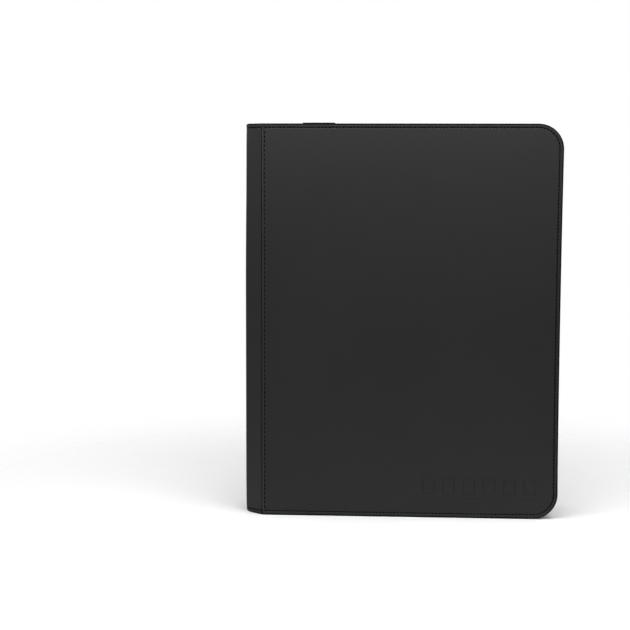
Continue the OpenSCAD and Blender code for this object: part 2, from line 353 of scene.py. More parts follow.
def sheet_material():
    """Black non-woven centre sheet of a leaf, with point-bonded dimples."""
    material, tree, shader = new_material("leaf_sheet")
    place = object_coordinates(tree)
    dimples = voronoi(tree, place, 700)
    fibres = noise(tree, place, 900, 4, 0.65)
    both = maths(tree, "ADD", maths(tree, "MULTIPLY", dimples, 0.6), maths(tree, "MULTIPLY", fibres, 0.5))
    tree.links.new(two_tone(tree, both, (0.012, 0.012, 0.013), (0.026, 0.026, 0.028)),
                   shader.inputs["Base Color"])
    tree.links.new(ramp(tree, fibres, 0.55, 0.75), shader.inputs["Roughness"])
    tree.links.new(bump(tree, both, 0.35, 0.0002), shader.inputs["Normal"])
    return material


MATERIALS = {
    "leatherette": leatherette_material(),
    "thread": thread_material(),
    "pressed_mark": mark_material(),
    # painted shade for the edge rolls
    "painted_shade_edge": painted_shade_edge_material(),
    # painted highlight along the fold
    "painted_highlight_fold": painted_highlight_fold_material(),
    "lining_cloth": cloth_material("lining_cloth", (0.010, 0.010, 0.011), (0.026, 0.026, 0.028),
                                   900, 0.0002),
    "zip_tape": cloth_material("zip_tape", (0.005, 0.005, 0.005), (0.015, 0.015, 0.016),
                               620, 0.0003),
    "greyboard": board_material(),
    "foam": foam_material(),
    "zip_coil": nylon_material(),
    "black_metal": metal_material(),
    "black_plastic": plastic_material(),
    "pocket_film": film_material(),
    "leaf_sheet": sheet_material(),
}


# ---------------------------------------------------------------- mesh helpers
def build_piece(name, vertices, faces, materials, smooth=True, face_materials=None):
    """A mesh object from arrays; faces may have any number of corners."""
    mesh = bpy.data.meshes.new(name)
    mesh.from_pydata([tuple(v) for v in vertices], [], [tuple(f) for f in faces])
    for key in materials:
        mesh.materials.append(MATERIALS[key])
    mesh.polygons.foreach_set("use_smooth", [smooth] * len(mesh.polygons))
    if face_materials is not None:
        mesh.polygons.foreach_set("material_index", face_materials)
    mesh.validate()
    mesh.update()
    piece = bpy.data.objects.new(name, mesh)
    bpy.context.scene.collection.objects.link(piece)
    return piece


def mirrored(vertices, faces):
    """The same shape on the back half."""
    return vertices * [1, -1, 1], [tuple(reversed(face)) for face in faces]


def bridge_rings(ring_count, ring_size, first=0):
    """Quads between rings that follow each other, each ring a closed loop."""
    faces = []
    for ring in range(ring_count - 1):
        low = first + ring * ring_size
        for i in range(ring_size):
            j = (i + 1) % ring_size
            faces.append((low + i, low + j, low + ring_size + j, low + ring_size + i))
    return faces


def plan_axes(start, end):
    """Unit vectors along a front panel and out of it, in plan."""
    along = (end - start) / np.linalg.norm(end - start)
    return along, np.array([along[1], -along[0]])


def place_panel(start, end, local):
    """Turns (along, out, height) points of a panel into row-frame points."""
    along, out = plan_axes(start, end)
    plan = start + local[:, :1] * along + local[:, 1:2] * out
    return np.column_stack([plan, local[:, 2]])


SPINE_DRAW_REACH = 8 * MM
HEAD_DRAW = 1.6 * MM
FOOT_CURL = 1.3 * MM
FOOT_CURL_REACH = 1.6 * MM
FORE_FLARE = 0.9 * MM
FORE_WAIST = 0.35 * MM


def settle(points):
    """The slack of a used binder: spine corners drawn in at the head and foot, fore-edge corners out."""
    x, y, z = points.T
    spine = np.clip((COVER_CORNER[0] - x) / (COVER_CORNER[0] - SPINE_CORNER[0]), 0, 1)
    corner = np.clip((np.abs(y) - 0.5 * SPINE_WIDTH + SPINE_DRAW_REACH) / SPINE_DRAW_REACH, 0, 1)
    corner = corner**2 * (3 - 2 * corner)
    head = np.clip((z / HEIGHT - 0.6) / 0.4, 0, 1) ** 1.5
    foot = np.exp(-np.clip(z, 0, None) / FOOT_CURL_REACH)
    drawn = spine * corner * (HEAD_DRAW * head + FOOT_CURL * foot)
    fore = np.clip((x / FORE_EDGE[0] - 0.4) / 0.6, 0, 1) ** 2
    flare = fore * (FORE_FLARE * np.abs(2 * z / HEIGHT - 1) ** 2.5 - FORE_WAIST)
    return points + np.column_stack([drawn + flare, np.zeros((len(points), 2))])


# ---------------------------------------------------------------- leatherette trays
# Reach in millimetres of the near-black painted shade on each edge's roll
PAINTED_SHADE_REACH = 1.3
# Place and half-width of the paler painted highlight along the fold's bead
HIGHLIGHT_AT = 0.85 * MM
HIGHLIGHT_HALF = 0.5 * MM
STEP_ALONG = 3.0 * MM
ARC_STEPS = 16
# Distances in millimetres of the rings of points from the edge: its roll, the seam and the face
ROLL_RINGS = [0.02, 0.08, 0.2, 0.4, 0.65, 0.95, 1.3, 1.7, 2.1, 2.5, 2.8]
SEAM_RINGS = [3.0, 3.15, 3.3, 3.45, 3.6, 3.75, 3.9, 4.05, 4.2, 4.35, 4.5, 4.65]
FACE_RINGS = [5, 5.6, 6.5, 8, 10, 13, 17, 23, 31, 43, 60, 85, 115, 134]
# How fast the rings close in from a crease, against the other edges
SIDE_SHARE = 0.45


def outline_loop(width, left, right, inset, radius):
    """Closed loop of (along, height) points: inset at top and bottom, left and right given."""
    low, high = inset, HEIGHT - inset
    end = width - right
    r = max(radius - inset, 0.3 * MM) if radius else 0
    flat_count = max(4, int(width / STEP_ALONG))
    side_count = int(HEIGHT / STEP_ALONG)
    turn = np.linspace(0, math.pi / 2, ARC_STEPS + 1)[1:-1]
    bottom = np.column_stack([np.linspace(left, end - r, flat_count), np.full(flat_count, low)])
    side = np.column_stack([np.full(side_count, end), np.linspace(low + r, high - r, side_count)])
    top = np.column_stack([np.linspace(end - r, left, flat_count), np.full(flat_count, high)])
    fold = np.column_stack([np.full(side_count, left), np.linspace(high, low, side_count)])[1:-1]
    if not radius:
        return np.concatenate([bottom, side[1:], top[1:], fold])
    lower = np.column_stack([end - r + r * np.sin(turn), low + r - r * np.cos(turn)])
    upper = np.column_stack([end - r + r * np.cos(turn), high - r + r * np.sin(turn)])
    return np.concatenate([bottom, lower, side, upper, top, fold])


def edge_distance(loop, width, radius):
    """How far each point lies inside the panel's finished edges, its creases left out."""
    u, z = loop[:, 0], loop[:, 1]
    nearest = np.minimum(z, HEIGHT - z)
    if not radius:
        return nearest
    nearest = np.minimum(nearest, width - u)
    across = u - (width - radius)
    up = np.abs(z - HEIGHT / 2) - (HEIGHT / 2 - radius)
    in_corner = (across > 0) & (up > 0)
    return np.where(in_corner, radius - np.hypot(across, up), nearest)


def face_height(distance, seam):
    """Height of the padded face above its nominal plane at this distance from a sewn edge."""
    roll = np.clip(1 - distance / ROLL_RADIUS, 0, 1)
    height = -ROLL_RADIUS * (1 - np.sqrt(1 - roll**2))
    height += BAND_CROWN * np.sin(math.pi * np.clip(distance / seam, 0, 1)) ** 1.5
    groove = np.clip(1 - np.abs(distance - seam) / GROOVE_HALF, 0, 1)
    height -= GROOVE_DEPTH * groove**2 * (3 - 2 * groove)
    height += CROWN * (1 - np.exp(-np.clip(distance - seam, 0, None) / CROWN_REACH))
    return height


def crease_height(distance, radius, drop):
    """The skin's small roll down into a crease."""
    roll = np.clip(1 - distance / radius, 0, 1)
    return -drop * (1 - np.sqrt(1 - roll**2))


def leatherette_tray(width, rim, radius, bend_left, bend_right, fold_seam, right_gap=CREASE_HALF_GAP):
    """Leatherette over a panel, turned down to rim: points in panel axes, faces, material numbers."""
    wall = [(SKIN, -rim), (0.4 * MM, -rim), (0.1 * MM, 0.12 * MM - rim), (0, 0.4 * MM - rim)]
    wall += [(0, -ROLL_RADIUS)] if rim > 2 * ROLL_RADIUS else []
    span = width / 2
    insets = [d * MM for d in ROLL_RINGS + SEAM_RINGS + FACE_RINGS]
    left_tan, right_tan = math.tan(bend_left / 2), math.tan(bend_right / 2)

    def ring(inset, height):
        shrink = min(1.0, span / (insets[-1] + MM)) if not radius else 1.0
        left = CREASE_HALF_GAP + inset * SIDE_SHARE * shrink
        right = inset if radius else right_gap + inset * SIDE_SHARE * shrink
        if height is not None:
            left += -height * left_tan
            right += 0 if radius else -height * right_tan
        loop = outline_loop(width, left, right, inset, radius)
        if height is None:
            rise = face_height(edge_distance(loop, width, radius), SEAM_INSET)
            rise += crease_height(loop[:, 0] - CREASE_HALF_GAP, CREASE_ROLL, CREASE_DROP)
            if fold_seam:
                bead = (loop[:, 0] - FOLD_BEAD_AT) / FOLD_BEAD_WIDTH
                rise += FOLD_BEAD * np.exp(-bead**2)
                dip = np.clip(1 - np.abs(loop[:, 0] - fold_seam) / (0.8 * GROOVE_HALF), 0, 1)
                rise -= 0.45 * GROOVE_DEPTH * dip**2 * (3 - 2 * dip)
            if not radius:
                rise += crease_height(width - right_gap - loop[:, 0], CREASE_ROLL + right_gap, CREASE_DROP)
        else:
            rise = np.full(len(loop), height)
        return np.column_stack([loop[:, 0], rise, loop[:, 1]])

    rings = [ring(inset, height) for inset, height in wall]
    rings += [ring(inset, None) for inset in insets]
    size = len(rings[0])
    points = np.concatenate(rings + [ring(SKIN, -SKIN)])
    faces = bridge_rings(len(rings), size)
    last = (len(rings) - 1) * size
    faces.append(tuple(range(last, last + size)))
    inner = len(rings) * size
    for i in range(size):
        j = (i + 1) % size
        faces.append((j, i, inner + i, inner + j))
    faces.append(tuple(reversed(range(inner, inner + size))))
    # Faces on each edge's roll take material 1, the near-black painted shade
    edge_rings = len(wall) - 1 + sum(d <= PAINTED_SHADE_REACH for d in ROLL_RINGS)
    plan = points[:(len(rings) - 1) * size, ::2]
    dark = edge_distance(plan, width, radius) < PAINTED_SHADE_REACH * MM + SKIN
    dark[edge_rings * size:] = False
    # A band on the fold's bead takes material 2, the paler painted highlight
    highlight_and_rubbed = (np.abs(plan[:, 0] - HIGHLIGHT_AT) < HIGHLIGHT_HALF) & (fold_seam > 0)
    highlight_and_rubbed[:len(wall) * size] = False
    materials = np.where(dark, 1, np.where(highlight_and_rubbed, 2, 0)).tolist()
    materials += [0] * (len(faces) - len(materials))
    return points, faces, materials


def add_tray(name, body, node, start, end, back, **shape):
    """One leatherette panel on its body."""
    local, faces, numbers = leatherette_tray(float(np.linalg.norm(end - start)), **shape)
    points = settle(place_panel(start, end, local))
    if back:
        points, faces = mirrored(points, faces)
    # The second skin is painted shade on the edge rolls
    skins = ["leatherette", "painted_shade_edge", "painted_highlight_fold"]
    # The third skin is a painted highlight along the fold
    piece = build_piece(name, points, faces, skins, face_materials=numbers)
    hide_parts(node)
    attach(piece, body)
    return piece


def cover_panels():
    for side in ("front", "back"):
        back = side == "back"
        cover = add_tray(f"{side}_cover_skin", f"{side}_cover", f"{side}_cover_leatherette",
                         COVER_CORNER, FORE_EDGE, back, rim=COVER_RIM, radius=CORNER_RADIUS,
                         bend_left=COVER_BEND, bend_right=0, fold_seam=FOLD_SEAM)
        add_tray(f"{side}_hinge_skin", f"{side}_hinge_strip", f"{side}_hinge_leatherette",
                 SPINE_CORNER, COVER_CORNER, back, rim=STRIP_RIM, radius=0,
                 bend_left=SPINE_BEND, bend_right=COVER_BEND, fold_seam=0, right_gap=FOLD_GAP)
    add_tray("spine_skin", "spine", "spine_leatherette", SPINE_CORNER * [1, -1], SPINE_CORNER,
             False, rim=SPINE_RIM, radius=0, bend_left=SPINE_BEND, bend_right=SPINE_BEND, fold_seam=0)


BOARD_SHY = 1.0 * MM
LINING_TRIM = 0.6 * MM
LINING_DEPTH = 0.9 * MM
PLATE_STEPS = 25


def bent_plate(name, body, node, start, end, depths, trims, key, back=False):
    """A board or lining that follows the settled skin over it."""
    along, out = plan_axes(start, end)
    low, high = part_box(node)
    shy = BOARD_SHY / 2 if key == "greyboard" else 0
    width = float(np.linalg.norm(end - start))
    steps = np.linspace(trims[0], width - trims[1], PLATE_STEPS)
    plan = start + steps[:, None] * along - depths[0] * out
    points, faces = swept_band(plan, low.z + shy, high.z - shy, depths[1] - depths[0])
    points = settle(points)
    if back:
        points, faces = mirrored(points, faces)
    piece = build_piece(name, points, faces, [key], smooth=False)
    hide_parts(node)
    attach(piece, body)


def plates():
    """Spine board, spine lining and strip linings."""
    start, end = SPINE_CORNER * [1, -1], SPINE_CORNER
    face = SPINE_CORNER[0]
    for node, key in (("spine_board", "greyboard"), ("spine_lining", "lining_cloth")):
        low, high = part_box(node)
        trim = SPINE_WIDTH / 2 - high.y + (BOARD_SHY if key == "greyboard" else 0)
        depths = (low.x - face, high.x - face)
        bent_plate(f"{node}_bent", "spine", node, start, end, depths, (trim, trim), key)
    trims = [LINING_TRIM + STRIP_RIM * math.tan(bend / 2) for bend in (SPINE_BEND, COVER_BEND)]
    for side in ("front", "back"):
        bent_plate(f"{side}_hinge_lining_bent", f"{side}_hinge_strip", f"{side}_hinge_lining", SPINE_CORNER,
                   COVER_CORNER, (LINING_DEPTH, STRIP_RIM), trims, "lining_cloth", side == "back")


# ---------------------------------------------------------------- creases
BAND_RINGS = 61
BAND_INSET = 0.7 * MM
BAND_POINTS = 13


def corner_point(corner, axes, along, out):
    return corner + along * axes[0] + out * axes[1]


def crease_profile(corner, before, after, points_before, points_after):
    """Plan points across a crease: distances are measured from the corner along each panel."""
    points = [corner_point(corner, before, -s, w) for s, w in points_before]
    points += [corner_point(corner, after, s, w) for s, w in points_after]
    return np.array(points)


def swept_band(plan, low, high, thickness):
    """A band of this thickness along a plan curve, from low to high, closed all round."""
    heights = np.linspace(low, high, BAND_RINGS)
    tangent = np.gradient(plan, axis=0)
    tangent /= np.linalg.norm(tangent, axis=1)[:, None]
    inward = np.column_stack([-tangent[:, 1], tangent[:, 0]])
    loop = np.concatenate([plan, (plan + inward * thickness)[::-1]])
    rings = [np.column_stack([loop, np.full(len(loop), z)]) for z in heights]
    faces = bridge_rings(len(rings), len(loop))
    size, last = len(loop), (len(rings) - 1) * len(loop)
    faces.append(tuple(reversed(range(size))))
    faces.append(tuple(range(last, last + size)))
    return np.concatenate(rings), faces


def refine(plan, count):
    """The same open line with evenly spaced points, its corners softened."""
    steps = np.concatenate([[0], np.cumsum(np.linalg.norm(np.diff(plan, axis=0), axis=1))])
    at = np.linspace(0, steps[-1], count)
    line = np.column_stack([np.interp(at, steps, plan[:, k]) for k in (0, 1)])
    for _ in range(2):
        line[1:-1] = (line[:-2] + 2 * line[1:-1] + line[2:]) / 4
    return line


def add_crease(name, corner, before, after, groove_points, inner_before, inner_after, back):
    """The leatherette in the bottom of a crease and the lining across its inner side."""
    groove = crease_profile(corner, before, after, *groove_points)
    lining = crease_profile(corner, before, after, inner_before, inner_after)
    for part, plan, thickness, key in (("leatherette", groove, 0.4 * MM, "leatherette"),
                                       ("lining", lining, 0.35 * MM, "lining_cloth")):
        points, faces = swept_band(refine(plan, BAND_POINTS), BAND_INSET, HEIGHT - BAND_INSET,
                                    thickness)
        points = settle(points)
        ends = [np.append(plan[1], 0), np.append(plan[-2], 0)]
        if back:
            points, faces = mirrored(points, faces)
            ends = [e * [1, -1, 1] for e in ends]
        piece = build_piece(f"{name}_{part}", points, faces, [key])
        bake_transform(piece)


def creases():
    spine_axes = plan_axes(SPINE_CORNER * [1, -1], SPINE_CORNER)
    strip_axes = plan_axes(SPINE_CORNER, COVER_CORNER)
    cover_axes = plan_axes(COVER_CORNER, FORE_EDGE)
    thin, deep = -STRIP_RIM, -COVER_RIM - 0.6 * MM
    spine_in = -SPINE_RIM - 0.6 * MM
    tight = ([(1.3 * MM, -0.35 * MM), (0.35 * MM, -0.55 * MM)],
             [(0.35 * MM, -0.55 * MM), (1.3 * MM, -0.35 * MM)])
    valley = ([(2.4 * MM, -0.5 * MM), (1.0 * MM, -1.25 * MM)],
              [(0.3 * MM, -1.25 * MM), (1.0 * MM, -0.5 * MM)])
    for side in ("front", "back"):
        back = side == "back"
        add_crease(f"{side}_spine_crease", SPINE_CORNER,
                   spine_axes, strip_axes, tight,
                   [(6 * MM, spine_in - 0.05 * MM), (2.6 * MM, spine_in - 0.05 * MM)],
                   [(1.6 * MM, thin - 0.1 * MM), (5 * MM, thin - 0.05 * MM)], back)
        add_crease(f"{side}_cover_crease", COVER_CORNER,
                   strip_axes, cover_axes, valley,
                   [(6 * MM, thin - 0.05 * MM), (1.6 * MM, thin - 0.1 * MM)],
                   [(2.4 * MM, deep - 0.1 * MM), (6 * MM, deep - 0.05 * MM)], back)


# ---------------------------------------------------------------- stitches
STITCH_SIDES = 6
STITCH_RINGS = 7


def stitches_along(centres, directions, outs, length, thickness=THREAD_RADIUS):
    """Short rounded threads whose ends dive into the skin, as (points, faces)."""
    t = np.linspace(-1, 1, STITCH_RINGS)
    radius = thickness * np.sqrt(np.clip(1.02 - t**4, 0, 1))
    arch = 0.10 * MM - 0.42 * MM * np.abs(t) ** 3
    turn = np.linspace(0, 2 * math.pi, STITCH_SIDES, endpoint=False)
    points, faces = [], []
    for centre, along, out in zip(centres, directions, outs):
        side = np.cross(along, out)
        first = sum(len(p) for p in points)
        ring_points = [
            centre + along * (t[k] * length / 2) + out * arch[k]
            + radius[k] * (np.cos(a) * side + np.sin(a) * out)
            for k in range(STITCH_RINGS) for a in turn
        ]
        points.append(np.array(ring_points))
        faces += bridge_rings(STITCH_RINGS, STITCH_SIDES, first)
        last = first + (STITCH_RINGS - 1) * STITCH_SIDES
        faces.append(tuple(reversed(range(first, first + STITCH_SIDES))))
        faces.append(tuple(range(last, last + STITCH_SIDES)))
    return np.concatenate(points), faces


def spaced_path(path, pitch):
    """Centres and directions every pitch along a path of points."""
    steps = np.concatenate([[0], np.cumsum(np.linalg.norm(np.diff(path, axis=0), axis=1))])
    count = max(1, int(round(steps[-1] / pitch)))
    at = (np.arange(count) + 0.5) * steps[-1] / count
    reach = steps[-1] * 1e-4

    def look_up(where):
        return np.column_stack([np.interp(where, steps, path[:, k]) for k in range(path.shape[1])])

    along = look_up(at + reach) - look_up(at - reach)
    return look_up(at), along / np.linalg.norm(along, axis=1)[:, None]


def seam_path(width, radius, inset, start):
    """The stitch line round a panel's finished edges, as (along, height) points."""
    if not radius:
        return [np.array([[start, z], [width - start, z]]) for z in (inset, HEIGHT - inset)]
    r = radius - inset
    turn = np.linspace(0, math.pi / 2, 24)
    lower = np.column_stack([width - radius + r * np.sin(turn), radius - r * np.cos(turn)])
    upper = lower[::-1] * [1, -1] + [0, HEIGHT]
    return [np.concatenate([[[start, inset]], lower, upper, [[start, HEIGHT - inset]]])]


def panel_stitches(start, end, paths, pitches, depths):
    """Stitches on one panel, as (points, faces) in the row frame."""
    along, out = plan_axes(start, end)
    points, faces = [], []
    for path, pitch, depth in zip(paths, pitches, depths):
        thickness = FOLD_THREAD_RADIUS if pitch == FOLD_PITCH else THREAD_RADIUS
        centres, directions = spaced_path(path, pitch)
        local = np.column_stack([centres[:, 0], np.full(len(centres), -depth), centres[:, 1]])
        flow = np.column_stack([directions[:, :1] * along, directions[:, 1]])
        outs = np.tile(np.append(out, 0), (len(centres), 1))
        made, quads = stitches_along(place_panel(start, end, local), flow, outs, pitch * 0.62, thickness)
        shift = sum(len(p) for p in points)
        points.append(made)
        faces += [tuple(i + shift for i in face) for face in quads]
    return settle(np.concatenate(points)), faces


def add_stitches(name, body, start, end, back, paths, pitches, depths):
    points, faces = panel_stitches(start, end, paths, pitches, depths)
    if back:
        points, faces = mirrored(points, faces)
    piece = build_piece(name, points, faces, ["thread"])
    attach(piece, body)


def stitching():
    deep = GROOVE_DEPTH - 0.1 * MM
    first = SEAM_INSET + FOLD_PITCH / 2
    fold = np.array([[FOLD_SEAM, first], [FOLD_SEAM, HEIGHT - first]])
    for side in ("front", "back"):
        back = side == "back"
        rim_paths = seam_path(COVER_WIDTH, CORNER_RADIUS, SEAM_INSET, FOLD_SEAM)
        add_stitches(f"{side}_cover_stitching", f"{side}_cover", COVER_CORNER, FORE_EDGE, back,
                     rim_paths + [fold], [EDGE_PITCH, FOLD_PITCH], [deep, 0.3 * MM])
        add_stitches(f"{side}_hinge_stitching", f"{side}_hinge_strip", SPINE_CORNER, COVER_CORNER, back,
                     seam_path(STRIP_LENGTH, 0, SEAM_INSET, 1.2 * MM), [EDGE_PITCH] * 2, [deep] * 2)
    add_stitches("spine_stitching", "spine", SPINE_CORNER * [1, -1], SPINE_CORNER, False,
                 seam_path(SPINE_WIDTH, 0, SEAM_INSET, 1.2 * MM), [EDGE_PITCH] * 2, [deep] * 2)


# ---------------------------------------------------------------- pressed mark
MARK_LEFT = 148 * MM
MARK_RIGHT = 251 * MM
MARK_LINE = 18.5 * MM
CARD_FOOT = 22 * MM
CARD_SIZE = (11 * MM, 15 * MM)
CARD_CORNER = 1.6 * MM
CARD_COUNT = 6
MARK_STROKE = 0.9 * MM
MARK_PROUD = 0.06 * MM
LINE_POINTS = 40
LINE_WIDTH = 0.7 * MM


def card_outline(left, foot, inset):
    """A small upright rounded rectangle as a closed loop of (along, height) points."""
    wide, tall = CARD_SIZE
    r = CARD_CORNER - inset
    turn = np.linspace(0, math.pi / 2, 6)
    right, top = wide - CARD_CORNER, tall - CARD_CORNER
    corners = [(right, CARD_CORNER), (right, top), (CARD_CORNER, top), (CARD_CORNER, CARD_CORNER)]
    loop = []
    for k, (cx, cz) in enumerate(corners):
        start = (k - 1) * math.pi / 2
        loop += [[left + cx + r * math.cos(start + t), foot + cz + r * math.sin(start + t)] for t in turn]
    return np.array(loop)


def pressed_mark():
    """A plain row of card outlines over a thin line, pressed into the front cover's lower corner."""
    step = (MARK_RIGHT - MARK_LEFT - CARD_SIZE[0]) / (CARD_COUNT - 1)
    points, faces, first = [], [], 0
    for k in range(CARD_COUNT):
        left = MARK_LEFT + k * step
        outer = card_outline(left, CARD_FOOT, 0)
        points += [outer, card_outline(left, CARD_FOOT, MARK_STROKE)]
        faces += bridge_rings(2, len(outer), first)
        first += 2 * len(outer)
    n = LINE_POINTS
    low = np.column_stack([np.linspace(MARK_LEFT, MARK_RIGHT, n), np.full(n, MARK_LINE)])
    points += [low, low + [0, LINE_WIDTH]]
    faces += [(first + i, first + i + 1, first + n + 1 + i, first + n + i) for i in range(n - 1)]
    plan = np.concatenate(points)
    rise = face_height(edge_distance(plan, COVER_WIDTH, CORNER_RADIUS), SEAM_INSET) + MARK_PROUD
    place = place_panel(COVER_CORNER, FORE_EDGE, np.column_stack([plan[:, 0], rise, plan[:, 1]]))
    piece = build_piece("pressed_mark", place, faces, ["pressed_mark"])
    thicken = piece.modifiers.new("depth", "SOLIDIFY")
    thicken.thickness = MARK_PROUD * 2
    thicken.offset = -1
    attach(piece, "front_cover")


# ---------------------------------------------------------------- zip
COIL_PITCH = 1.6 * MM
COIL_WIRE = 0.33 * MM
COIL_SIDES = 6
COIL_CROSSING = 0.45 * MM
COIL_THICKNESS = 2.2 * MM
COIL_TURN_POINTS = 12


def zip_path(inset, start_x):
    """The zip's centre line on the three open sides, as (x, height) points."""
    r = CORNER_RADIUS - inset
    turn = np.linspace(0, math.pi / 2, 40)
    edge = FORE_EDGE[0]
    lower = np.column_stack([edge - CORNER_RADIUS + r * np.sin(turn), CORNER_RADIUS - r * np.cos(turn)])
    upper = lower[::-1] * [1, -1] + [0, HEIGHT]
    return np.concatenate([[[start_x, inset]], lower, upper, [[start_x, HEIGHT - inset]]])


def coil_mesh(phase):
    """One row's coil: a flattened helix that follows the zip and crosses its middle."""
    low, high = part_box("front_zipper_coil")
    path = zip_path(HEIGHT - high.z + COIL_THICKNESS / 2, low.x)
    steps = np.concatenate([[0], np.cumsum(np.linalg.norm(np.diff(path, axis=0), axis=1))])
    turns = int(steps[-1] / COIL_PITCH) - 1
    s = (np.arange(turns * COIL_TURN_POINTS) / COIL_TURN_POINTS + 0.5 + phase) * COIL_PITCH
    angle = 2 * math.pi * np.arange(len(s)) / COIL_TURN_POINTS
    x, z = (np.interp(s, steps, path[:, k]) for k in (0, 1))
    ahead = s + 0.2 * MM
    flow = np.column_stack([np.interp(ahead, steps, path[:, k]) - at for k, at in ((0, x), (1, z))])
    flow /= np.linalg.norm(flow, axis=1)[:, None]
    outward = np.column_stack([flow[:, 1], -flow[:, 0]])
    outer, inner = low.y, COIL_CROSSING
    middle, reach = (outer + inner) / 2, (inner - outer) / 2 - COIL_WIRE
    lift = (COIL_THICKNESS / 2 - COIL_WIRE) * np.sin(angle)
    sway = reach * np.sign(np.cos(angle)) * np.abs(np.cos(angle)) ** 0.6
    centre = np.column_stack([x + outward[:, 0] * lift, middle + sway, z + outward[:, 1] * lift])
    return tube(centre, COIL_WIRE, COIL_SIDES)


def tube(centre, radius, sides):
    """A round tube along a smooth line of points, closed at its ends."""
    tangent = np.gradient(centre, axis=0)
    tangent /= np.linalg.norm(tangent, axis=1)[:, None]
    helper = np.roll(tangent, 1, axis=1) * [1, -1, 1]
    first = np.cross(tangent, helper)
    first /= np.linalg.norm(first, axis=1)[:, None]
    for i in range(1, len(first)):
        kept = first[i - 1] - tangent[i] * np.dot(first[i - 1], tangent[i])
        first[i] = kept / np.linalg.norm(kept)
    second = np.cross(tangent, first)
    turn = np.linspace(0, 2 * math.pi, sides, endpoint=False)
    rings = (centre[:, None, :] + radius * (np.cos(turn)[None, :, None] * first[:, None, :]
                                            + np.sin(turn)[None, :, None] * second[:, None, :]))
    points = rings.reshape(-1, 3)
    faces = bridge_rings(len(centre), sides)
    last = (len(centre) - 1) * sides
    faces.append(tuple(reversed(range(sides))))
    faces.append(tuple(range(last, last + sides)))
    return points, faces


def zip_coils():
    for side, phase in (("front", 0.0), ("back", 0.5)):
        points, faces = coil_mesh(phase)
        if side == "back":
            points, faces = mirrored(points, faces)
        piece = build_piece(f"{side}_coil_turns", points, faces, ["zip_coil"])
        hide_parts(f"{side}_zipper_coil")
        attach(piece, f"{side}_cover")


def wall_stitches():
    """Rows of stitches along the zip wall: gusset to tape, and tape to coil."""
    low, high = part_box("front_gusset")
    tape_low, tape_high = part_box("front_zipper_tape")
    rows = [
        ("gusset_stitching", high.y - 1.6 * MM, HEIGHT - high.z, low.x, EDGE_PITCH),
        ("tape_stitching", tape_high.y - 0.9 * MM, HEIGHT - tape_high.z, tape_low.x, 2.2 * MM),
    ]
    for name, y, inset, start_x, pitch in rows:
        centres, directions = spaced_path(zip_path(inset, start_x), pitch)
        place = np.column_stack([centres[:, 0], np.full(len(centres), y), centres[:, 1]])
        flow = np.column_stack([directions[:, 0], np.zeros(len(centres)), directions[:, 1]])
        outs = np.column_stack([directions[:, 1], np.zeros(len(centres)), -directions[:, 0]])
        points, faces = stitches_along(place, flow, outs, pitch * 0.72, WALL_THREAD_RADIUS)
        for side in ("front", "back"):
            shape = (points, faces) if side == "front" else mirrored(points, faces)
            piece = build_piece(f"{side}_{name}", *shape, ["thread"])
            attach(piece, f"{side}_cover")


# ---------------------------------------------------------------- leaves
POCKET_COLUMNS = 3
POCKET_ROWS = 3
HINGE_LAND = 6 * MM
WELD = 2 * MM
MOUTH = 3 * MM
SHEET_T = 0.4 * MM
FILM_T = 0.15 * MM
RIB_HALF = 0.42 * MM


def box_shape(low, high):
    """Corner points and faces of one block."""
    xs, ys, zs = zip(low, high)
    points = np.array([[x, y, z] for x in xs for y in ys for z in zs])
    faces = [(0, 1, 3, 2), (4, 6, 7, 5), (0, 4, 5, 1), (2, 3, 7, 6), (0, 2, 6, 4), (1, 5, 7, 3)]
    return points, faces


def film_pocket(low, high, y, face):
    """A slightly domed film on one pocket; face is -1 or 1 for the side it is on."""
    count_x, count_z = 9, 13
    u, v = np.meshgrid(np.linspace(0, 1, count_x), np.linspace(0, 1, count_z), indexing="ij")
    dome = (np.sin(math.pi * np.clip(u, 0, 1)) * np.sin(math.pi * v)) ** 0.5
    lift = (SHEET_T / 2 + 0.1 * MM + 0.22 * MM * dome) * face
    x = low[0] + u * (high[0] - low[0])
    z = low[1] + v * (high[1] - low[1])
    outer = np.column_stack([x.ravel(), (y + lift + FILM_T * face).ravel(), z.ravel()])
    inner = np.column_stack([x.ravel(), (y + lift).ravel(), z.ravel()])
    size = count_x * count_z
    faces = []
    for i in range(count_x - 1):
        for j in range(count_z - 1):
            a = i * count_z + j
            quad = (a, a + 1, a + count_z + 1, a + count_z)
            faces.append(quad if face > 0 else quad[::-1])
            low_quad = tuple(size + k for k in quad)
            faces.append(low_quad[::-1] if face > 0 else low_quad)
    rim = [i * count_z for i in range(count_x)] + [(count_x - 1) * count_z + j for j in range(1, count_z)]
    rim += [i * count_z + count_z - 1 for i in range(count_x - 2, -1, -1)] + list(range(count_z - 2, 0, -1))
    for a, b in zip(rim, rim[1:] + rim[:1]):
        quad = (a, b, size + b, size + a)
        faces.append(quad if face > 0 else quad[::-1])
    return np.concatenate([outer, inner]), faces


